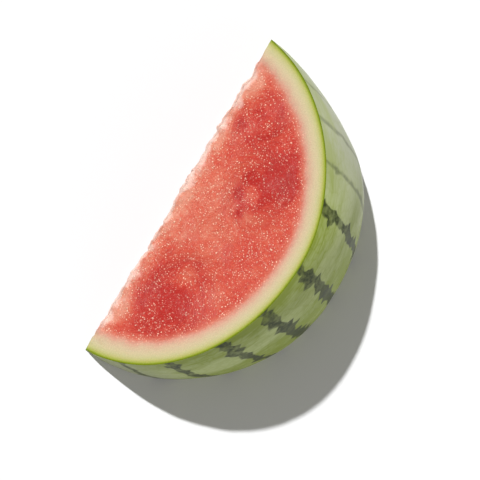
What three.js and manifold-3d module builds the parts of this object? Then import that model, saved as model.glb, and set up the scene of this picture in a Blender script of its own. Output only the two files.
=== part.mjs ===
// A wedge of a round seedless watermelon: one eighth of the fruit, with rind, cut by two straight knife cuts.
// Millimetres, +Z up. The wedge lies on its lower cut face, and its thin edge runs along X.
import * as THREE from "three";
import { mergeVertices } from "three/addons/utils/BufferGeometryUtils.js";
import Module from "manifold-3d";

const wasm = await Module();
wasm.setup();

// Driving dimensions, in millimetres and degrees.
const melonRadius = 119; // across the stem axis
const melonHalfLength = 97; // along the stem axis
const wedgeAngle = 45; // between the two cut faces
const middleBelowCut = 14; // from the plane of the upper cut down to the melon's middle
const edgeBeyondMiddle = 5; // the thin edge lies this far from the stem axis, towards the rind

// The grown melon isn't quite round: two patches of its side are pressed in and one is a little fuller.
// Each is given by its angle round the stem axis from the middle of the rind, its angle off the equator
// towards the upper cut, how far it is pressed in, and how far from its centre that fades out.
const unevenPatches = [
  { around: 70, offEquator: -12.5, pressed: 10.5, reach: 95 },
  { around: 36, offEquator: 27, pressed: 8.6, reach: 80 },
  { around: -25.5, offEquator: -38, pressed: -3, reach: 95 },
];

const roundSteps = 128; // facets round the stem axis
const poleSteps = 80; // facets from pole to pole
const cutterReach = 150; // past everything that the melon has

const angle = THREE.MathUtils.degToRad(wedgeAngle);

function onMelon(around, offEquator) {
  const turn = THREE.MathUtils.degToRad(around);
  const rise = THREE.MathUtils.degToRad(offEquator);
  return new THREE.Vector3(
    -melonRadius * Math.sin(turn) * Math.cos(rise),
    melonHalfLength * Math.sin(rise),
    -melonRadius * Math.cos(turn) * Math.cos(rise),
  );
}

function pressIn(geometry, { around, offEquator, pressed, reach }) {
  const centre = onMelon(around, offEquator);
  const inward = centre.clone().normalize().negate();
  const position = geometry.getAttribute("position");
  const point = new THREE.Vector3();
  for (let i = 0; i < position.count; i++) {
    point.fromBufferAttribute(position, i);
    const nearness = Math.max(0, 1 - point.distanceTo(centre) / reach);
    point.addScaledVector(inward, pressed * THREE.MathUtils.smoothstep(nearness, 0, 1));
    position.setXYZ(i, point.x, point.y, point.z);
  }
}

// The whole melon, its stem axis square to the upper cut, which crosses it close to the equator.
function wholeMelon() {
  const geometry = new THREE.SphereGeometry(1, roundSteps, poleSteps);
  geometry.scale(melonRadius, melonHalfLength, melonRadius);
  for (const patch of unevenPatches) pressIn(geometry, patch);
  geometry.translate(0, -middleBelowCut, edgeBeyondMiddle);
  geometry.rotateX(Math.PI / 2 + angle);
  return geometry;
}

// All that lies between the two cuts: a long prism with its sharp edge on the X axis.
function betweenTheCuts() {
  const section = new THREE.Shape();
  section.moveTo(0, 0);
  section.lineTo(cutterReach, 0);
  section.lineTo(cutterReach, cutterReach * Math.tan(angle));
  section.closePath();
  const geometry = new THREE.ExtrudeGeometry(section, { depth: 2 * cutterReach, bevelEnabled: false });
  geometry.translate(0, 0, -cutterReach);
  geometry.rotateX(Math.PI / 2);
  geometry.rotateZ(Math.PI / 2);
  return geometry;
}

function solidOf(geometry) {
  const bare = geometry.clone();
  bare.deleteAttribute("normal");
  bare.deleteAttribute("uv");
  const merged = mergeVertices(bare, 1e-4);
  return new wasm.Manifold(
    new wasm.Mesh({
      numProp: 3,
      vertProperties: new Float32Array(merged.getAttribute("position").array),
      triVerts: new Uint32Array(merged.getIndex().array),
    }),
  );
}

function geometryOf(solid) {
  const mesh = solid.getMesh();
  const geometry = new THREE.BufferGeometry();
  geometry.setAttribute("position", new THREE.BufferAttribute(new Float32Array(mesh.vertProperties), 3));
  geometry.setIndex(new THREE.BufferAttribute(new Uint32Array(mesh.triVerts), 1));
  geometry.computeVertexNormals();
  return geometry;
}

// The wedge, moved so that the origin is under the middle of its bounding box.
function wedge() {
  const geometry = geometryOf(solidOf(wholeMelon()).intersect(solidOf(betweenTheCuts())));
  geometry.computeBoundingBox();
  const { min, max } = geometry.boundingBox;
  geometry.translate(-(min.x + max.x) / 2, -(min.y + max.y) / 2, -min.z);
  const flesh = new THREE.MeshStandardMaterial({ color: "#d4594b", roughness: 0.4, metalness: 0 });
  const mesh = new THREE.Mesh(geometry, flesh);
  mesh.name = "watermelon_wedge";
  return mesh;
}

const group = new THREE.Group();
group.add(wedge());

export default group;
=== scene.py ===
import math

import bpy
from mathutils import Matrix, Vector
from mathutils.bvhtree import BVHTree


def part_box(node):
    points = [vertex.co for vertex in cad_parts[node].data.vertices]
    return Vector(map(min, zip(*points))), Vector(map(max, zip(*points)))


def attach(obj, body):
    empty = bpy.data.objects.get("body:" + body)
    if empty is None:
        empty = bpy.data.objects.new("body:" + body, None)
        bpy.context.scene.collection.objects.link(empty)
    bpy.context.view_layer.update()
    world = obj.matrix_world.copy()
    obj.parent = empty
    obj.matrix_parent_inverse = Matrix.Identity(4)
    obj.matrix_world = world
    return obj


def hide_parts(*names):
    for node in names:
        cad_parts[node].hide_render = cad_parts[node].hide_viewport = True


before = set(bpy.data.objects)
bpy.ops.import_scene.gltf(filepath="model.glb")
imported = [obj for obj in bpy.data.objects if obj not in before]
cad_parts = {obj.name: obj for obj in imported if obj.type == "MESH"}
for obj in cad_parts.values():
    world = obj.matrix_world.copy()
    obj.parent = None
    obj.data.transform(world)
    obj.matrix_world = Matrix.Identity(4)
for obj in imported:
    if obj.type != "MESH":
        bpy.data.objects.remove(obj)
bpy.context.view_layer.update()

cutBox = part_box("watermelon_wedge")
thinEdge = cutBox[0].y    # the long thin edge lies on the floor, along X, at this Y
millimetre = 0.001


def linear(hexColour):
    # an sRGB hex value as the linear colour that the shader wants
    channels = [int(hexColour[i:i + 2], 16) / 255 for i in (1, 3, 5)]
    return [c / 12.92 if c <= 0.04045 else ((c + 0.055) / 1.055) ** 2.4 for c in channels] + [1]


def addNode(tree, kind, links=None, stops=None, output=0, **settings):
    # one node with its settings, its inputs (a value or another node's socket) and its ramp stops
    node = tree.nodes.new("ShaderNode" + kind)
    for name, value in settings.items():
        setattr(node, name, value)
    openInputs = [socket for socket in node.inputs if socket.enabled]
    for key, value in (links or {}).items():
        socket = openInputs[key] if isinstance(key, int) else node.inputs[key]
        if isinstance(value, bpy.types.NodeSocket):
            tree.links.new(value, socket)
        else:
            socket.default_value = value
    if stops:
        bar = node.color_ramp.elements
        bar[0].position = stops[0][0]
        bar[1].position = stops[-1][0]
        for place, _ in stops[1:-1]:
            bar.new(place)
        for stop, (_, colour) in zip(bar, stops):
            stop.color = linear(colour)
    openOutputs = [socket for socket in node.outputs if socket.enabled]
    return openOutputs[output] if openOutputs else node


def startMaterial(name):
    material = bpy.data.materials.new(name)
    material.use_nodes = True
    material.node_tree.nodes.clear()
    return material, material.node_tree


# Camera, floor and light

shot = {
    "tilt": 7.0,            # degrees off straight down, toward the thin edge
    "turn": 120.93,         # degrees from the thin edge to the picture's right
    "distance": 2.5,
    "fieldWidth": 0.3048,   # metres across the picture at the wedge
    "aim": (0.0047, -0.0104, 0.0059),
    "sensor": 36.0,
    "seesTo": 20.0,
}


def placeCamera(shot):
    tilt = math.radians(shot["tilt"])
    turn = math.radians(shot["turn"])
    back = Vector((0, -math.sin(tilt), math.cos(tilt)))
    outward = Vector((0, math.cos(tilt), math.sin(tilt)))
    along = Vector((1, 0, 0))
    right = along * math.cos(turn) + outward * math.sin(turn)
    up = back.cross(right)
    bpy.ops.object.camera_add(location=Vector(shot["aim"]) + back * shot["distance"])
    camera = bpy.context.object
    camera.rotation_euler = Matrix((right, up, back)).transposed().to_euler()
    camera.data.sensor_width = shot["sensor"]
    camera.data.lens = shot["sensor"] * shot["distance"] / shot["fieldWidth"]
    camera.data.clip_end = shot["seesTo"]
    bpy.context.scene.camera = camera


studio = {
    "sunFrom": (-0.419, -0.591, 0.689),   # direction toward the lamp
    "sunStrength": 4.2,
    "sunSize": 1.7,                        # degrees, for the width of the shadow's edge
    "skyColour": "#FFFEF5",
    "overhead": 0.19,                      # how bright the studio is straight up
    "atHorizon": 0.70,                     # and low down, where the white walls are
    "wallTop": 0.6,                        # it darkens up to this height, 1 being straight up
    "cardAt": (0.35, 0.85, 0.24),          # a white card low on the rind's side
    "cardSize": 0.7,
    "cardPower": 1.9,
    "floorSize": 12.0,
    "floorColour": "#EEEEF0",
    "fibresPerMetre": 900.0,
    "fibreHeight": 0.1,                    # millimetres
}


def lightStudio(studio):
    bpy.ops.object.light_add(type="SUN")
    sun = bpy.context.object
    sun.rotation_euler = Vector(studio["sunFrom"]).to_track_quat("Z", "Y").to_euler()
    sun.data.energy = studio["sunStrength"]
    sun.data.angle = math.radians(studio["sunSize"])
    cardAt = Vector(studio["cardAt"])
    bpy.ops.object.light_add(type="AREA", location=cardAt)
    card = bpy.context.object
    card.rotation_euler = cardAt.to_track_quat("Z", "Y").to_euler()
    card.data.size = studio["cardSize"]
    card.data.energy = studio["cardPower"]
    world = bpy.data.worlds.new("studioSky")
    world.use_nodes = True
    tree = world.node_tree
    tree.nodes.clear()
    direction = addNode(tree, "TexCoord", output=0)
    height = addNode(tree, "SeparateXYZ", {0: direction}, output=2)
    bright = addNode(tree, "MapRange", {
        "Value": height, "From Min": 0, "From Max": studio["wallTop"],
        "To Min": studio["atHorizon"], "To Max": studio["overhead"]})
    sky = addNode(tree, "Background", {"Color": linear(studio["skyColour"]), "Strength": bright})
    addNode(tree, "OutputWorld", {"Surface": sky})
    bpy.context.scene.world = world
    bpy.context.scene.view_settings.view_transform = "Standard"


def layFloor(studio):
    # seamless paper floor, flat: matt, with a trace of fibre
    bpy.ops.object.select_all(action="DESELECT")
    bpy.ops.mesh.primitive_plane_add(size=studio["floorSize"], location=(0, 0, 0))
    floor = bpy.context.object
    floor.name = "paperFloor"
    material, tree = startMaterial("whitePaper")
    coords = addNode(tree, "TexCoord", output=3)
    fibre = addNode(tree, "TexNoise", {"Vector": coords, "Scale": studio["fibresPerMetre"], "Detail": 2})
    bump = addNode(tree, "Bump", {
        "Strength": 0.05, "Distance": studio["fibreHeight"] * millimetre, "Height": fibre})
    paper = addNode(tree, "BsdfPrincipled", {
        "Base Color": linear(studio["floorColour"]), "Roughness": 0.9,
        "Specular IOR Level": 0.2, "Normal": bump})
    addNode(tree, "OutputMaterial", {"Surface": paper})
    floor.data.materials.append(material)


placeCamera(shot)
lightStudio(studio)
layFloor(studio)
print("camera, light and floor are in place")


# The melon and the wedge cut from it, in millimetres

melon = {
    "acrossStem": 119.0,      # radius across the stem axis
    "alongStem": 97.0,        # half the length from stem to blossom end
    "wedgeAngle": 45.0,
    "middleBelowCut": 14.0,   # the melon's middle is this far under the upper cut
    "edgeBeyondMiddle": 5.0,  # and the thin edge this far past it, toward the rind
    "middleAlongEdge": -2.5,
    "meridians": 96,
    "rings": 64,
    "smoothing": 2,           # rounds of subdivision
    # where a heavy fruit lay flat or grew uneven: degrees round the stem, degrees off the equator,
    # how deep it is pressed in, and how far out that reaches
    "uneven": [
        {"around": 70, "offEquator": -12.5, "pressed": 10.5, "reach": 95},
        {"around": 36, "offEquator": 27, "pressed": 8.6, "reach": 80},
        {"around": -25.5, "offEquator": -38, "pressed": -3, "reach": 95},
    ],
}

knife = {
    "cell": 0.85,       # mesh size on the two cut faces
    "length": 250.0,    # both faces reach out past the rind
    "width": 130.0,
    "hinge": 0.01,      # points this close along the thin edge are one
    "sliver": 0.1,      # slivers this thin along the rim are closed up
    "flatFace": 0.02,   # and faces that shrink to this are dropped
    "sortFrom": (0.31, 0.73, 0.17),   # metres: points are merged in order of distance from here
}

wedgeTilt = math.radians(melon["wedgeAngle"])
stemAxis = Vector((0, -math.sin(wedgeTilt), math.cos(wedgeTilt)))
outAlongCut = Vector((0, math.cos(wedgeTilt), math.sin(wedgeTilt)))
thinEdgeMiddle = Vector((melon["middleAlongEdge"] * millimetre, thinEdge, 0))
patternZero = -0.9    # millimetres along the thin edge from the frame's middle to the patterns' zero
melonMiddle = (thinEdgeMiddle - outAlongCut * melon["edgeBeyondMiddle"] * millimetre
               - stemAxis * melon["middleBelowCut"] * millimetre)


def pressPatch(body, patch):
    # takes hold of the skin at the patch's middle and pushes it in with a smooth falloff
    around = math.radians(patch["around"])
    off = math.radians(patch["offEquator"])
    radius = melon["acrossStem"] * millimetre
    centre = Vector((-radius * math.sin(around) * math.cos(off),
                     radius * math.cos(around) * math.cos(off),
                     melon["alongStem"] * millimetre * math.sin(off)))
    nearest = min(body.data.vertices, key=lambda vertex: (vertex.co - centre).length)
    nearest.select = True
    bpy.ops.object.mode_set(mode="EDIT")
    bpy.ops.transform.translate(
        value=-centre.normalized() * patch["pressed"] * millimetre,
        use_proportional_edit=True, proportional_edit_falloff="SMOOTH",
        proportional_size=patch["reach"] * millimetre, use_proportional_connected=False)
    bpy.ops.mesh.select_all(action="DESELECT")
    bpy.ops.object.mode_set(mode="OBJECT")


def growMelon():
    bpy.ops.object.select_all(action="DESELECT")
    bpy.ops.mesh.primitive_uv_sphere_add(segments=melon["meridians"], ring_count=melon["rings"],
                                         radius=melon["acrossStem"] * millimetre)
    body = bpy.context.object
    bpy.ops.object.mode_set(mode="EDIT")
    bpy.ops.mesh.select_mode(type="VERT")
    bpy.ops.mesh.select_all(action="SELECT")
    bpy.ops.transform.resize(value=(1, 1, melon["alongStem"] / melon["acrossStem"]))
    bpy.ops.mesh.select_all(action="DESELECT")
    bpy.ops.object.mode_set(mode="OBJECT")
    for patch in melon["uneven"]:
        pressPatch(body, patch)
    smooth = body.modifiers.new("roundOff", "SUBSURF")
    smooth.levels = melon["smoothing"]
    smooth.render_levels = melon["smoothing"]
    bpy.ops.object.modifier_apply(modifier=smooth.name)
    body.location = melonMiddle
    body.rotation_euler[0] = wedgeTilt
    bpy.ops.object.transform_apply(location=True, rotation=True, scale=True)
    return body


def cutBlock():
    # the space between the two cuts: one finely gridded cut face swung round the thin edge to the other
    bpy.ops.object.select_all(action="DESELECT")
    columns = round(knife["length"] / knife["cell"])
    rows = round(knife["width"] / knife["cell"])
    bpy.ops.mesh.primitive_grid_add(x_subdivisions=columns, y_subdivisions=rows, size=1)
    block = bpy.context.object
    bpy.ops.object.mode_set(mode="EDIT")
    bpy.ops.mesh.select_all(action="SELECT")
    bpy.ops.transform.resize(value=(knife["length"] * millimetre, knife["width"] * millimetre, 1))
    bpy.ops.transform.translate(value=(0, knife["width"] * millimetre / 2, 0))
    bpy.ops.mesh.spin(steps=1, dupli=False, angle=-wedgeTilt, center=(0, 0, 0), axis=(1, 0, 0))
    bpy.ops.mesh.select_all(action="SELECT")
    bpy.ops.mesh.remove_doubles(threshold=knife["hinge"] * millimetre)
    bpy.ops.transform.translate(value=(0, thinEdge, 0))
    bpy.ops.mesh.normals_make_consistent(inside=False)
    bpy.ops.object.mode_set(mode="OBJECT")
    return block


def cutWedge(body, block, flesh, skin):
    for piece in (block, body):
        piece.data.materials.append(flesh)
        piece.data.materials.append(skin)
    for face in body.data.polygons:
        face.material_index = 1
    bpy.ops.object.select_all(action="DESELECT")
    bpy.context.view_layer.objects.active = block
    block.select_set(True)
    cut = block.modifiers.new("keepInsideMelon", "BOOLEAN")
    cut.operation = "INTERSECT"
    cut.solver = "EXACT"
    cut.object = body
    bpy.ops.object.modifier_apply(modifier=cut.name)
    bpy.ops.object.mode_set(mode="EDIT")
    bpy.ops.mesh.select_all(action="SELECT")
    # sorted first, so that slivers along the rim merge the same way on every run
    bpy.context.scene.cursor.location = knife["sortFrom"]
    bpy.ops.mesh.sort_elements(type="CURSOR_DISTANCE", elements={"VERT", "EDGE", "FACE"})
    bpy.ops.mesh.remove_doubles(threshold=knife["sliver"] * millimetre)
    bpy.ops.mesh.dissolve_degenerate(threshold=knife["flatFace"] * millimetre)
    bpy.ops.mesh.select_all(action="DESELECT")
    bpy.ops.object.mode_set(mode="OBJECT")
    return block


def measureSkinDepth(wedge, body):
    # how far in from the skin every point lies along its own cut, in millimetres: this drives the rind's
    # colours and the flesh relief
    onFloor = 0.05 * millimetre
    leastSlant = 0.15           # keeps the depth in bounds where the skin runs along the cut
    corners = [vertex.co for vertex in body.data.vertices]
    tree = BVHTree.FromPolygons(corners, [face.vertices[:] for face in body.data.polygons])
    depths = []
    for vertex in wedge.data.vertices:
        _, skinNormal, _, gap = tree.find_nearest(vertex.co)
        cutNormal = Vector((0, 0, -1)) if vertex.co.z < onFloor else stemAxis
        slant = math.sqrt(max(1 - cutNormal.dot(skinNormal) ** 2, leastSlant))
        depths.append(gap / millimetre / slant)
    stored = wedge.data.attributes.new("skinDepth", "FLOAT", "POINT")
    stored.data.foreach_set("value", depths)
    return depths


relief = {
    "softFrom": 9.0,        # depth under the skin where crisp rind gives way to soft flesh
    "softBy": 19.0,
    "skinUnder": 0.3,       # anything nearer the skin than this is the skin itself
    "sharpFrom": 38.0,      # degrees: flatter edges than this are shaded smooth
    "edgeFrom": -4.0,       # below nought, so the rind crumbles a little too
    "edgeReach": 13.0,      # how far from the thin edge the flesh has crumbled
    "layers": [
        # name, group, texture, grain size in mm, depth in mm, still level, direction
        ("knifeSwell", "softFlesh", "CLOUDS", 26.0, 0.9, 1.0, "NORMAL"),
        ("juiceCells", "softFlesh", "CLOUDS", 2.2, 0.45, 1.0, "NORMAL"),
        ("tornEdge", "thinEdge", "CLOUDS", 14.0, 3.0, 0.7, "Y"),
        ("brokenEdge", "thinEdge", "VORONOI", 8.0, 2.4, 0.5, "Y"),
        ("crumbs", "thinEdge", "CLOUDS", 3.0, 1.4, 0.5, "Y"),
        ("unevenSkin", "skinSide", "CLOUDS", 34.0, 1.4, 0.5, "NORMAL"),
    ],
}


def smoothStep(value, start, end):
    share = min(max((value - start) / (end - start), 0), 1)
    return share * share * (3 - 2 * share)


def roughenFlesh(wedge, depths):
    soft = wedge.vertex_groups.new(name="softFlesh")
    edge = wedge.vertex_groups.new(name="thinEdge")
    outside = wedge.vertex_groups.new(name="skinSide")
    for vertex, depth in zip(wedge.data.vertices, depths):
        fromEdge = math.hypot(vertex.co.y - thinEdge, vertex.co.z) / millimetre
        softness = smoothStep(depth, relief["softFrom"], relief["softBy"])
        soft.add([vertex.index], softness, "REPLACE")
        crumbly = smoothStep(depth, relief["edgeFrom"], relief["softBy"])
        edge.add([vertex.index], crumbly * (1 - smoothStep(fromEdge, 0, relief["edgeReach"])), "REPLACE")
        if depth < relief["skinUnder"] and vertex.co.z > relief["skinUnder"] * millimetre:
            outside.add([vertex.index], 1, "REPLACE")
    for name, group, kind, size, deep, level, direction in relief["layers"]:
        texture = bpy.data.textures.new(name, kind)
        texture.noise_scale = size * millimetre
        layer = wedge.modifiers.new(name, "DISPLACE")
        layer.texture = texture
        layer.texture_coords = "LOCAL"
        layer.vertex_group = group
        layer.direction = direction
        layer.strength = deep * millimetre
        layer.mid_level = level     # at 1 it only ever takes flesh away
        bpy.ops.object.modifier_apply(modifier=name)


# Cut flesh: wet, glassy juice cells that scatter light a few millimetres deep, sliced clean by a long
# knife. The eye gets a soft red glow, pale specks where single cells stand proud, brightened as painted
# glints of wet cells, and small wet glints.

fleshLook = {
    "rind": [   # millimetres in from the skin, and the colour there
        (0.0, "#586902"), (0.5, "#637209"), (1.0, "#778422"), (1.6, "#8C943F"), (2.4, "#9B9B54"),
        (3.4, "#A5A26A"), (5.0, "#ADA67A"), (7.0, "#B3A682"), (9.5, "#B5A183"), (12.0, "#B6967D"),
        (14.5, "#B88572"), (17.0, "#B8725E"), (19.5, "#B4614F"), (23.0, "#B25443"),
    ],
    "rindTo": 23.0,
    "fleshFrom": 13.0,      # the depth where the flesh's own colours start; by rindTo they are all there is
    "specksBy": 20.0,       # the depth by which all of the pale cells show
    "specksInRind": 0.08,   # the share of them that shows in the rind
    "waverSize": 9.0,       # the border between rind and flesh wavers: in waves this long,
    "waverFar": 4.0,        # this far,
    "waverDepths": (2.0, 11.0),   # not at all at the first depth and fully at the second
    "redness": [
        (0.00, "#C47B65"), (0.25, "#BE5F49"), (0.50, "#B64633"), (0.75, "#AF3326"), (1.00, "#A01B13")],
    "base": 0.55,
    "grainSize": 0.8,       # single cells, in mm,
    "grainShade": 0.2,      # and how much they differ in brightness
    "lobeShape": (1, 1, 0.35),    # lobes are nearly three times as long along the stem as across it
    "lobes": [  # along the thin edge, out from it, radius, how much redder
        (63, 36, 38, 0.6), (-41, 62, 34, 0.62), (-66, 28, 30, 0.38), (60, 46, 17, 0.4),
        (-18, 40, 7, 0.55), (-8, 49, 6, 0.5), (-32, 41, 8, 0.3), (-24, 63, 9, 0.12), (-43, 65, 16, 0.42),
        (32, 43, 8, 0.22), (39, 52, 6, 0.15), (43, 39, 13, -0.38), (-58, 12, 8, 0.35), (-52, 20, 7, -0.2),
        (-22, 51, 9, -0.12), (-10, 57, 9, -0.25), (2, 52, 12, -0.14), (16, 66, 18, 0.14),
        (8, 33, 18, -0.22), (42, 67, 12, -0.2),
        (-22, 18, 14, -0.28), (22, 20, 14, -0.28), (3, 2, 36, -0.25), (16, 44, 24, -0.12),
        (-10, 28, 20, -0.2), (-82, 7, 16, -0.5), (-42, 4, 14, -0.3), (82, 7, 16, -0.5), (-60, 2, 10, -0.15),
    ],
    "swirls": [  # along, out, ring spacing, reach, strength
        (60, 40, 27, 42, 0.12), (-23, 51, 21, 17, -0.22), (-68, 24, 17, 26, 0.1),
    ],
    "curls": [  # along, out, reach, degrees the flesh turned as it grew round a seed pocket
        (-26, 54, 30, 210), (60, 38, 40, -150), (-66, 26, 26, 170), (20, 40, 24, -120),
    ],
    "bendSize": 13.0,       # how the flesh pattern is pulled about, in mm
    "bendFar": 5.5,
    "mottle": [(26.0, 0.2), (9.0, 0.26), (3.4, 0.26), (1.2, 0.34)],   # size in mm, change to the red
    "speckSizes": [(1.6, 0.3, 1.0), (1.05, 0.4, 0.7)],    # cell size in mm, share left bare, strength
    "speckFade": 0.4,       # past the bare share, how soon a cell's speck is at full strength
    "speckRadii": (0.14, 0.35),   # where a speck starts to fade and where it is gone, in cells
    "speckShove": 0.9,      # mm that specks are pushed about, so that they aren't round
    "speckDrifts": (8.0, 0.36, 0.6, 0.42),   # drift size in mm, thin at, full at, how thin
    "ripeSpecks": (0.8, 1.25, 0.45),         # from this redness to this one, specks thin out to this
    # colour of the pale cells, made light enough to serve as painted glints of wet cells too
    "specksAndGlints": "#FFE0C6",
    "edgeFade": 17.0,       # flesh pales this far from the thin edge,
    "edgeFaded": -0.5,      # down to this much less red right at it
    "paleEdge": "#E8CCC2",
    "paleShare": 0.72,
    "raggedSize": 11.0,     # how long the pale patches along the thin edge are,
    "raggedWidth": (35.0, -12.5, 2.2),   # and how wide: times the noise, plus this, at least this
    "wet": (7.0, 0.15, 0.5),      # gloss from the skin down to this depth: at the skin, and past it
    "bumpHeight": 0.7,      # mm
    "roughness": 0.32,
    "ior": 1.36,            # watery juice
    "scatter": 0.12,
    "scatterDepth": 3.0,    # mm that red light travels in the flesh
}


def gapFrom(tree, coords, look, along, out):
    # millimetres from the line that a lobe or a seed pocket grew round
    offset = addNode(tree, "VectorMath", {0: coords, 1: (along, out, 0)}, operation="SUBTRACT")
    flat = addNode(tree, "VectorMath", {0: offset, 1: look["lobeShape"]}, operation="MULTIPLY")
    return addNode(tree, "VectorMath", {0: flat}, operation="LENGTH")


def lobeField(tree, coords, look):
    # soft round areas of riper or paler flesh, summed
    total = 0.0
    for along, out, radius, strength in look["lobes"]:
        gap = gapFrom(tree, coords, look, along, out)
        share = addNode(tree, "MapRange", {"Value": gap, "From Min": 0, "From Max": radius,
                                           "To Min": strength, "To Max": 0},
                        interpolation_type="SMOOTHSTEP")
        total = addNode(tree, "Math", {0: share, 1: total}, operation="ADD")
    return total


def placeCoords(tree):
    # millimetres: X along the thin edge, Y out to the rind in the upper cut, Z along the stem
    coords = addNode(tree, "TexCoord", output=3)
    reach = -thinEdge / millimetre * math.cos(wedgeTilt)
    return addNode(tree, "Mapping", {
        "Vector": coords, "Location": (-patternZero, reach, -reach),
        "Rotation": (-wedgeTilt, 0, 0), "Scale": (1 / millimetre,) * 3})


def swirlField(tree, coords, look):
    # rings of darker and paler flesh where the seed pockets grew, fading toward the end of their reach
    total = 0.0
    for along, out, spacing, reach, strength in look["swirls"]:
        gap = gapFrom(tree, coords, look, along, out)
        turns = addNode(tree, "Math", {0: gap, 1: 2 * math.pi / spacing}, operation="MULTIPLY")
        ring = addNode(tree, "Math", {0: turns}, operation="COSINE")
        fade = addNode(tree, "MapRange", {"Value": gap, "From Min": reach * 0.6, "From Max": reach,
                                          "To Min": strength, "To Max": 0},
                       interpolation_type="SMOOTHSTEP")
        total = addNode(tree, "Math", {0: ring, 1: fade, 2: total}, operation="MULTIPLY_ADD")
    return total


def curlCoords(tree, coords, look):
    # turns the pattern about each seed pocket, most at its middle
    for along, out, reach, degrees in look["curls"]:
        gap = gapFrom(tree, coords, look, along, out)
        turn = addNode(tree, "MapRange", {"Value": gap, "From Min": 0, "From Max": reach,
                                          "To Min": math.radians(degrees), "To Max": 0},
                       interpolation_type="SMOOTHSTEP")
        coords = addNode(tree, "VectorRotate", {"Vector": coords, "Center": (along, out, 0), "Angle": turn},
                         rotation_type="Z_AXIS")
    return coords


def speckAndGlintField(tree, coords, look):
    # single juice cells that stand proud of the cut, in drifts; in the colour the same specks are also
    # painted glints of wet cells
    size, thinAt, fullAt, thin = look["speckDrifts"]
    drifts = addNode(tree, "TexNoise", {"Vector": coords, "Scale": 1 / size, "Detail": 2})
    drifts = addNode(tree, "MapRange", {"Value": drifts, "From Min": thinAt, "From Max": fullAt,
                                        "To Min": thin, "To Max": 1})
    shove = addNode(tree, "TexNoise", {"Vector": coords, "Scale": 1 / look["speckShove"]}, output=1)
    shove = addNode(tree, "VectorMath", {0: shove, "Scale": look["speckShove"]}, operation="SCALE")
    coords = addNode(tree, "VectorMath", {0: coords, 1: shove}, operation="ADD")
    solid, gone = look["speckRadii"]
    total = 0.0
    for size, bare, strength in look["speckSizes"]:
        cells = addNode(tree, "TexVoronoi", {"Vector": coords, "Scale": 1 / size})
        luck = addNode(tree, "SeparateColor", {"Color": cells.node.outputs["Color"]})
        chosen = addNode(tree, "MapRange", {
            "Value": luck, "From Min": bare, "From Max": bare + look["speckFade"],
            "To Min": 0, "To Max": strength})
        dot = addNode(tree, "MapRange", {"Value": cells, "From Min": solid, "From Max": gone,
                                         "To Min": 1, "To Max": 0}, interpolation_type="SMOOTHSTEP")
        dot = addNode(tree, "Math", {0: dot, 1: chosen}, operation="MULTIPLY")
        total = addNode(tree, "Math", {0: total, 1: dot}, operation="MAXIMUM")
    return addNode(tree, "Math", {0: total, 1: drifts}, operation="MULTIPLY")


def pulpColour(tree, coords, fromEdge, look):
    # how red the flesh is, its colour, and the finest of its mottling, which is its grain
    pull = addNode(tree, "TexNoise", {"Vector": coords, "Scale": 1 / look["bendSize"], "Detail": 2},
                   output=1)
    pull = addNode(tree, "VectorMath", {0: pull, 1: (0.5, 0.5, 0.5)}, operation="SUBTRACT")
    pull = addNode(tree, "VectorMath", {0: pull, "Scale": look["bendFar"]}, operation="SCALE")
    bent = addNode(tree, "VectorMath", {0: coords, 1: pull}, operation="ADD")
    red = lobeField(tree, bent, look)
    fade = addNode(tree, "MapRange", {"Value": fromEdge, "From Min": 0, "From Max": look["edgeFade"],
                                      "To Min": look["edgeFaded"], "To Max": 0},
                   interpolation_type="SMOOTHSTEP")
    red = addNode(tree, "Math", {0: red, 1: fade}, operation="ADD")
    rings = swirlField(tree, bent, look)
    red = addNode(tree, "Math", {0: red, 1: rings}, operation="ADD")
    curled = curlCoords(tree, bent, look)
    for size, change in look["mottle"]:
        noise = addNode(tree, "TexNoise", {"Vector": curled, "Scale": 1 / size, "Detail": 3})
        red = addNode(tree, "Math", {0: noise, 1: change * 2, 2: red}, operation="MULTIPLY_ADD")
        grain = noise
    changeSum = sum(change for _, change in look["mottle"])
    red = addNode(tree, "Math", {0: red, 1: look["base"] - changeSum}, operation="ADD")
    return red, addNode(tree, "ValToRGB", {"Fac": red}, look["redness"]), grain


def waveredDepth(tree, coords, grain, look):
    # the depth under the skin; the border with the flesh wavers, and is as fuzzy as the flesh's grain
    depth = addNode(tree, "Attribute", attribute_name="skinDepth", output=2)
    waves = addNode(tree, "TexNoise", {"Vector": coords, "Scale": 1 / look["waverSize"], "Detail": 2})
    still, full = look["waverDepths"]
    waverFar = addNode(tree, "MapRange", {"Value": depth, "From Min": still, "From Max": full,
                                          "To Min": 0, "To Max": look["waverFar"]})
    for noise in (waves, grain):
        shift = addNode(tree, "Math", {0: noise, 1: 0.5}, operation="SUBTRACT")
        depth = addNode(tree, "Math", {0: shift, 1: waverFar, 2: depth}, operation="MULTIPLY_ADD")
    return depth


def paleEdgeShare(tree, coords, fromEdge, look):
    # light comes through the last few millimetres of flesh, more in some places than in others
    noiseTimes, plus, least = look["raggedWidth"]
    ragged = addNode(tree, "TexNoise", {"Vector": coords, "Scale": 1 / look["raggedSize"], "Detail": 3})
    width = addNode(tree, "Math", {0: ragged, 1: noiseTimes, 2: plus}, operation="MULTIPLY_ADD")
    width = addNode(tree, "Math", {0: width, 1: least}, operation="MAXIMUM")
    return addNode(tree, "MapRange", {"Value": fromEdge, "From Min": 0, "From Max": width,
                                      "To Min": look["paleShare"], "To Max": 0},
                   interpolation_type="SMOOTHSTEP")


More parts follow.
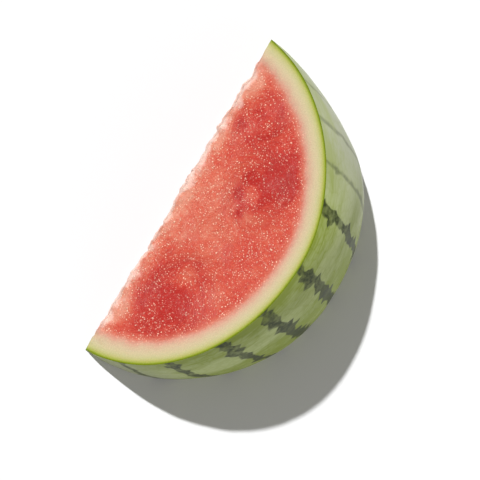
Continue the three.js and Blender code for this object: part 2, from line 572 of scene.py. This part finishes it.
def makeFlesh(look):
    material, tree = startMaterial("cutMelonFlesh")
    coords = placeCoords(tree)
    fromEdge = addNode(tree, "VectorMath", {0: coords, 1: (0, 1, 1)}, operation="MULTIPLY")
    fromEdge = addNode(tree, "VectorMath", {0: fromEdge}, operation="LENGTH")
    red, pulp, grain = pulpColour(tree, coords, fromEdge, look)
    depth = waveredDepth(tree, coords, grain, look)
    depthShare = addNode(tree, "Math", {0: depth, 1: look["rindTo"]}, operation="DIVIDE")
    stops = [(place / look["rindTo"], colour) for place, colour in look["rind"]]
    rind = addNode(tree, "ValToRGB", {"Fac": depthShare}, stops)
    inFlesh = addNode(tree, "MapRange", {"Value": depth, "From Min": look["fleshFrom"],
                                         "From Max": look["rindTo"]}, interpolation_type="SMOOTHSTEP")
    colour = addNode(tree, "Mix", {0: inFlesh, 1: rind, 2: pulp}, data_type="RGBA")
    edgeShare = paleEdgeShare(tree, coords, fromEdge, look)
    edgeShare = addNode(tree, "Math", {0: edgeShare, 1: inFlesh}, operation="MULTIPLY")
    colour = addNode(tree, "Mix", {0: edgeShare, 1: colour, 2: linear(look["paleEdge"])},
                     data_type="RGBA")

    # pale cells with painted glints, few in the rind and fewer where the flesh is ripest
    dot = speckAndGlintField(tree, coords, look)
    speckShare = addNode(tree, "MapRange", {
        "Value": depth, "From Min": look["fleshFrom"], "From Max": look["specksBy"],
        "To Min": look["specksInRind"], "To Max": 1})
    thinFrom, thinBy, thinnest = look["ripeSpecks"]
    ripe = addNode(tree, "MapRange", {"Value": red, "From Min": thinFrom, "From Max": thinBy,
                                      "To Min": 1, "To Max": thinnest})
    speckShare = addNode(tree, "Math", {0: speckShare, 1: ripe}, operation="MULTIPLY")
    dot = addNode(tree, "Math", {0: dot, 1: speckShare}, operation="MULTIPLY")
    colour = addNode(tree, "Mix", {0: dot, 1: colour, 2: linear(look["specksAndGlints"])}, data_type="RGBA")
    shade = addNode(tree, "TexNoise", {"Vector": coords, "Scale": 1 / look["grainSize"], "Detail": 1})
    shade = addNode(tree, "Math", {0: shade, 1: 2 * look["grainShade"], 2: 1 - look["grainShade"]},
                    operation="MULTIPLY_ADD")
    colour = addNode(tree, "HueSaturation", {"Value": shade, "Color": colour})

    # relief too fine for the mesh: the grain, and the pale cells on top of it, weaker in the rind
    lift = addNode(tree, "Math", {0: dot, 1: 0.8, 2: grain}, operation="MULTIPLY_ADD")
    bumpShare = addNode(tree, "Math", {0: inFlesh, 1: 0.7, 2: 0.2}, operation="MULTIPLY_ADD")
    bump = addNode(tree, "Bump", {
        "Strength": bumpShare, "Distance": look["bumpHeight"] * millimetre, "Height": lift})
    wetFrom, dull, glossy = look["wet"]
    wet = addNode(tree, "MapRange", {"Value": depth, "From Min": 0, "From Max": wetFrom,
                                     "To Min": dull, "To Max": glossy})
    flesh = addNode(tree, "BsdfPrincipled", {
        "Base Color": colour, "Roughness": look["roughness"], "IOR": look["ior"],
        "Specular IOR Level": wet, "Subsurface Weight": look["scatter"],
        "Subsurface Radius": (1.0, 0.35, 0.25), "Subsurface Scale": look["scatterDepth"] * millimetre,
        "Normal": bump})
    addNode(tree, "OutputMaterial", {"Surface": flesh})
    return material


# Ripe melon skin: a hard waxy cuticle over green tissue, grown, never polished. The eye gets a dull sheen,
# fine streaks round the fruit, and dark feathered stripes from stem to blossom end.

skinLook = {
    "pale": "#ADB87A",
    "fresh": "#869534",
    "litSheenPale": "#A5A98F",     # painted sheen: skin where the sun falls is painted this greyer, paler green
    "litSheenFresh": "#979F6C",
    "stripe": "#343D19",
    "stripeMid": "#5B6534",
    "stripes": [    # degrees round the stem from the middle of the rind, half width, tongue length,
                    # how dark, how blurred
        (78, 1.7, 2.5, 0.5, 1.6), (62.6, 1.6, 2.5, 0.5, 1.6), (47.3, 1.7, 2.5, 0.5, 1.6),
        (32.1, 1.4, 2.5, 0.55, 1.3), (17.1, 2.8, 6.5, 1.0, 0.8), (-2.4, 3.2, 6.0, 1.0, 0.8),
        (-19.4, 3.3, 6.0, 1.0, 0.8), (-35.1, 3.0, 6.0, 1.0, 0.8), (-54.3, 2.8, 5.5, 1.0, 0.8),
        (-71, 2.8, 5.0, 0.95, 0.8), (-86, 2.8, 5.0, 0.9, 0.8),
    ],
    "tongueSize": 7.5,      # mm from one tongue of a stripe to the next,
    "tongueSpread": 1.3,    # and how many times as much on its other side
    "tonguePoint": 1.35,    # above 1 the tongues are drawn out thin
    "jagSize": (22.0, 7.5),     # stripes jump aside and swell: in mm round the fruit, and down it
    "swell": 2.6,           # how far their half width changes, in half widths
    "driftSize": 16.0,      # waves in mm, both for the drift of the stripes and for soft dents
    "driftFar": 5.0,        # how far stripes drift, in mm,
    "driftAlong": 9.0,      # and how far their tongues drift along them
    "narrow": (-10.0, 0.75),    # above this depth stripes narrow, to this share at the upper cut
    "broaden": (-42.0, -80.0, 2.6),   # from one depth to the other they broaden by this many mm
    "wornSize": (9.0, 5.0),     # worn patches in the stripes: mm round the fruit, and down it,
    "wornLevels": (0.45, 0.62, 0.4),  # noise where they start, where they're full, darkness they take
    "mottleSize": 2.4,      # paler blotches in the stripes, in mm,
    "mottleLevels": (0.44, 0.64),     # and the noise where they start and where they're full
    "calm": (-22.0, -32.0, 0.3),      # from one depth to the other, wear and blotches drop to this
    "paling": (-2.0, -20.0, 0.05, 0.95),   # from one depth to the other, skin goes from this pale to this
    "panelSize": (34.0, 9.0),   # broad pale panels: mm round the fruit, and down it,
    "panelChange": (2.4, -1.15),      # and what they change: times the noise, plus this
    "litSheen": (5.0, 45.0),       # degrees round the stem where the painted sheen of the sunlit skin starts and where it's full,
    "farLitSheen": (-48.0, -82.0),       # and the same toward the other end
    "shadeGreening": (-24.0, -36.0, 0.85),   # painted shade: away from the sun, deep down, the skin is painted greener and darker, by this much
    "streakSize": (18.0, 1.1),  # fine streaks: mm round the fruit, and down it,
    "streakChange": (1.1, -0.55),
    "netSize": (7.0, 3.5),      # a faint green net: mm round the fruit, and down it,
    "netLines": (0.16, -0.22),  # how wide its lines are, in meshes, and what they change
    "leanMiddle": 0.13,     # how far a stripe leans off the stem's line, in mm for each mm down
    "leanPerDegree": 0.006,
    "placedAt": -12.0,      # the depth under the upper cut where the angles above hold
    "dentHeight": 0.4,      # mm
    "dentStrength": 0.12,
    "roughness": 0.42,
    "ior": 1.42,            # plant wax
    "gloss": 0.3,
}


def tongueField(tree, down, size, start, look):
    # pointed tongues of random length along one side of a stripe
    place = addNode(tree, "Math", {0: down, 1: 1 / size, 2: start}, operation="MULTIPLY_ADD")
    nearest = addNode(tree, "TexVoronoi", {"W": place, "Scale": 1}, voronoi_dimensions="1D")
    luck = addNode(tree, "SeparateColor", {"Color": nearest.node.outputs["Color"]})
    taper = addNode(tree, "MapRange", {"Value": nearest, "From Min": 0, "From Max": 0.5,
                                       "To Min": 1, "To Max": 0})
    taper = addNode(tree, "Math", {0: taper, 1: look["tonguePoint"]}, operation="POWER")
    return addNode(tree, "Math", {0: taper, 1: luck}, operation="MULTIPLY")


def skinPlace(tree):
    # the angle round the stem from the middle of the rind, that angle in mm along the skin, and the
    # height over the upper cut, which is below nought all over the rind
    coords = placeCoords(tree)
    middle = (melon["middleAlongEdge"] - patternZero, -melon["edgeBeyondMiddle"], 0)
    fromStem = addNode(tree, "VectorMath", {0: coords, 1: middle}, operation="SUBTRACT")
    parts = addNode(tree, "SeparateXYZ", {0: fromStem}).node
    toward = addNode(tree, "Math", {0: parts.outputs["X"], 1: -1.0}, operation="MULTIPLY")
    angle = addNode(tree, "Math", {0: toward, 1: parts.outputs["Y"]}, operation="ARCTAN2")
    arc = addNode(tree, "Math", {0: angle, 1: melon["acrossStem"]}, operation="MULTIPLY")
    return angle, arc, parts.outputs["Z"]


def stripeField(tree, place, angle, arc, down, drift, look):
    # how much of a stripe there is at each place
    across, tall = look["jagSize"]
    coarse = addNode(tree, "VectorMath", {0: place, 1: (1 / across, 1 / tall, 1)}, operation="MULTIPLY")
    jags = addNode(tree, "TexNoise", {"Vector": coarse, "Scale": 1, "Detail": 2, "Roughness": 0.5})
    shifted = addNode(tree, "VectorMath", {0: coarse, 1: (7, 31, 5)}, operation="ADD")
    widths = addNode(tree, "TexNoise", {"Vector": shifted, "Scale": 1, "Detail": 2, "Roughness": 0.5})
    jag = addNode(tree, "Math", {0: jags, 1: 0.5}, operation="SUBTRACT")
    swell = addNode(tree, "Math", {0: widths, 1: 0.5}, operation="SUBTRACT")
    lean = addNode(tree, "Math", {
        0: angle, 1: math.degrees(look["leanPerDegree"]), 2: look["leanMiddle"]},
        operation="MULTIPLY_ADD")
    fall = addNode(tree, "Math", {0: look["placedAt"], 1: down}, operation="SUBTRACT")
    moved = addNode(tree, "Math", {0: fall, 1: lean, 2: arc}, operation="MULTIPLY_ADD")
    moved = addNode(tree, "Math", {0: drift, 1: look["driftFar"], 2: moved}, operation="MULTIPLY_ADD")
    warped = addNode(tree, "Math", {0: drift, 1: look["driftAlong"], 2: down}, operation="MULTIPLY_ADD")
    wholeAt, narrowest = look["narrow"]
    widen = addNode(tree, "MapRange", {"Value": down, "From Min": 0, "From Max": wholeAt,
                                       "To Min": narrowest, "To Max": 1},
                    interpolation_type="SMOOTHSTEP")
    start, end, most = look["broaden"]
    spread = addNode(tree, "MapRange", {"Value": down, "From Min": start, "From Max": end,
                                        "To Min": 0, "To Max": most}, interpolation_type="SMOOTHSTEP")
    dark = 0.0
    for number, (degrees, halfWidth, tongue, strength, blur) in enumerate(look["stripes"]):
        middle = math.radians(degrees) * melon["acrossStem"]
        pushed = addNode(tree, "Math", {0: jag, 1: tongue, 2: moved}, operation="MULTIPLY_ADD")
        signed = addNode(tree, "Math", {0: pushed, 1: middle}, operation="SUBTRACT")
        reach = addNode(tree, "Math", {0: widen, 1: halfWidth, 2: spread}, operation="MULTIPLY_ADD")
        reach = addNode(tree, "Math", {0: swell, 1: halfWidth * look["swell"], 2: reach},
                        operation="MULTIPLY_ADD")
        # other tongues on either side, and in every stripe
        oneSide = tongueField(tree, warped, look["tongueSize"], number * 13.7, look)
        otherSide = tongueField(tree, warped, look["tongueSize"] * look["tongueSpread"],
                                number * 7.9 + 40, look)
        oneSide = addNode(tree, "Math", {0: oneSide, 1: tongue, 2: reach}, operation="MULTIPLY_ADD")
        otherSide = addNode(tree, "Math", {0: otherSide, 1: tongue, 2: reach}, operation="MULTIPLY_ADD")
        oneSide = addNode(tree, "Math", {0: oneSide, 1: signed}, operation="SUBTRACT")
        otherSide = addNode(tree, "Math", {0: otherSide, 1: signed}, operation="ADD")
        share = addNode(tree, "Math", {0: oneSide, 1: otherSide}, operation="MINIMUM")
        share = addNode(tree, "MapRange", {"Value": share, "From Min": -blur, "From Max": blur,
                                           "To Min": 0, "To Max": strength},
                        interpolation_type="SMOOTHSTEP")
        dark = addNode(tree, "Math", {0: dark, 1: share}, operation="MAXIMUM")
    return dark


def wornField(tree, place, calm, look):
    # the share that is left of a stripe where it is worn
    across, tall = look["wornSize"]
    start, full, most = look["wornLevels"]
    wornPlace = addNode(tree, "VectorMath", {0: place, 1: (1 / across, 1 / tall, 1)},
                        operation="MULTIPLY")
    worn = addNode(tree, "TexNoise", {"Vector": wornPlace, "Scale": 1, "Detail": 3})
    worn = addNode(tree, "MapRange", {"Value": worn, "From Min": start, "From Max": full,
                                      "To Min": 0, "To Max": most})
    worn = addNode(tree, "Math", {0: worn, 1: calm}, operation="MULTIPLY")
    return addNode(tree, "Math", {0: 1, 1: worn}, operation="SUBTRACT")


def litSheenField(tree, angle, look):
    # painted sheen: where the sun falls, at both ends of the rind, the skin is painted greyer and paler
    total = 0.0
    for start, full in (look["litSheen"], look["farLitSheen"]):
        share = addNode(tree, "MapRange", {
            "Value": angle, "From Min": math.radians(start), "From Max": math.radians(full)},
            interpolation_type="SMOOTHSTEP")
        total = addNode(tree, "Math", {0: total, 1: share}, operation="MAXIMUM")
    return total


def paleField(tree, place, down, litSheen, look):
    # how pale the skin between the stripes is, with painted shade deep down on the side away from the sun
    start, end, least, most = look["paling"]
    pale = addNode(tree, "MapRange", {"Value": down, "From Min": start, "From Max": end,
                                      "To Min": least, "To Max": most})
    across, tall = look["panelSize"]
    times, plus = look["panelChange"]
    panelPlace = addNode(tree, "VectorMath", {0: place, 1: (1 / across, 1 / tall, 1)},
                         operation="MULTIPLY")
    panels = addNode(tree, "TexNoise", {"Vector": panelPlace, "Scale": 1, "Detail": 2})
    panels = addNode(tree, "Math", {0: panels, 1: times, 2: plus}, operation="MULTIPLY_ADD")
    pale = addNode(tree, "Math", {0: pale, 1: panels}, operation="ADD")

    # painted shade: deep down, away from the sunlit ends, the skin is painted greener and darker
    start, end, most = look["shadeGreening"]
    shadeGreener = addNode(tree, "MapRange", {"Value": down, "From Min": start, "From Max": end,
                                         "To Min": 0, "To Max": most}, interpolation_type="SMOOTHSTEP")
    shaded = addNode(tree, "Math", {0: 1, 1: litSheen}, operation="SUBTRACT")
    shadeGreener = addNode(tree, "Math", {0: shadeGreener, 1: shaded}, operation="MULTIPLY")
    pale = addNode(tree, "Math", {0: pale, 1: shadeGreener}, operation="SUBTRACT")

    across, tall = look["streakSize"]
    times, plus = look["streakChange"]
    fine = addNode(tree, "VectorMath", {0: place, 1: (1 / across, 1 / tall, 1)}, operation="MULTIPLY")
    streaks = addNode(tree, "TexNoise", {"Vector": fine, "Scale": 1, "Detail": 3})
    streaks = addNode(tree, "Math", {0: streaks, 1: times, 2: plus}, operation="MULTIPLY_ADD")
    pale = addNode(tree, "Math", {0: pale, 1: streaks}, operation="ADD", use_clamp=True)

    across, tall = look["netSize"]
    wide, change = look["netLines"]
    netPlace = addNode(tree, "Mapping", {"Vector": place, "Scale": (1 / across, 1 / tall, 1)})
    net = addNode(tree, "TexVoronoi", {"Vector": netPlace, "Scale": 1, "Randomness": 1},
                  feature="DISTANCE_TO_EDGE")
    net = addNode(tree, "MapRange", {"Value": net, "From Min": 0, "From Max": wide,
                                     "To Min": change, "To Max": 0})
    return addNode(tree, "Math", {0: pale, 1: net}, operation="ADD", use_clamp=True)


def makeSkin(look):
    material, tree = startMaterial("waxyStripedSkin")
    angle, arc, down = skinPlace(tree)
    # patterns are placed in millimetres round the fruit and from stem to blossom end
    place = addNode(tree, "CombineXYZ", {0: arc, 1: down})
    waves = addNode(tree, "TexNoise", {"Vector": place, "Scale": 1 / look["driftSize"], "Detail": 2})
    drift = addNode(tree, "Math", {0: waves, 1: 0.5}, operation="SUBTRACT")
    start, end, least = look["calm"]
    calm = addNode(tree, "MapRange", {"Value": down, "From Min": start, "From Max": end,
                                      "To Min": 1, "To Max": least})
    dark = stripeField(tree, place, angle, arc, down, drift, look)
    worn = wornField(tree, place, calm, look)
    dark = addNode(tree, "Math", {0: dark, 1: worn}, operation="MULTIPLY")
    # the sunlit ends of the rind get a painted sheen; elsewhere paleField paints shade deep down
    litSheen = litSheenField(tree, angle, look)
    pale = paleField(tree, place, down, litSheen, look)
    plain = addNode(tree, "Mix", {0: pale, 1: linear(look["fresh"]), 2: linear(look["pale"])},
                    data_type="RGBA")
    sheened = addNode(tree, "Mix", {0: pale, 1: linear(look["litSheenFresh"]), 2: linear(look["litSheenPale"])},
                      data_type="RGBA")
    ground = addNode(tree, "Mix", {0: litSheen, 1: plain, 2: sheened}, data_type="RGBA")

    start, full = look["mottleLevels"]
    mottle = addNode(tree, "TexNoise", {"Vector": place, "Scale": 1 / look["mottleSize"], "Detail": 4})
    mottle = addNode(tree, "MapRange", {"Value": mottle, "From Min": start, "From Max": full})
    mottle = addNode(tree, "Math", {0: mottle, 1: calm}, operation="MULTIPLY")
    stripe = addNode(tree, "Mix", {0: mottle, 1: linear(look["stripe"]), 2: linear(look["stripeMid"])},
                     data_type="RGBA")
    colour = addNode(tree, "Mix", {0: dark, 1: ground, 2: stripe}, data_type="RGBA")
    bump = addNode(tree, "Bump", {"Strength": look["dentStrength"],
                                  "Distance": look["dentHeight"] * millimetre, "Height": waves})
    skin = addNode(tree, "BsdfPrincipled", {
        "Base Color": colour, "Roughness": look["roughness"], "IOR": look["ior"],
        "Specular IOR Level": look["gloss"], "Normal": bump})
    addNode(tree, "OutputMaterial", {"Surface": skin})
    return material


flesh = makeFlesh(fleshLook)
skin = makeSkin(skinLook)
wholeMelon = growMelon()
print("melon grown")
wedge = cutWedge(wholeMelon, cutBlock(), flesh, skin)
wedge.name = "watermelonWedge"
print("wedge cut", len(wedge.data.polygons), "faces")
depths = measureSkinDepth(wedge, wholeMelon)
roughenFlesh(wedge, depths)
bpy.data.objects.remove(wholeMelon)
bpy.ops.object.shade_smooth_by_angle(angle=math.radians(relief["sharpFrom"]))
print("flesh roughened")

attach(wedge, "root")
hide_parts("watermelon_wedge")
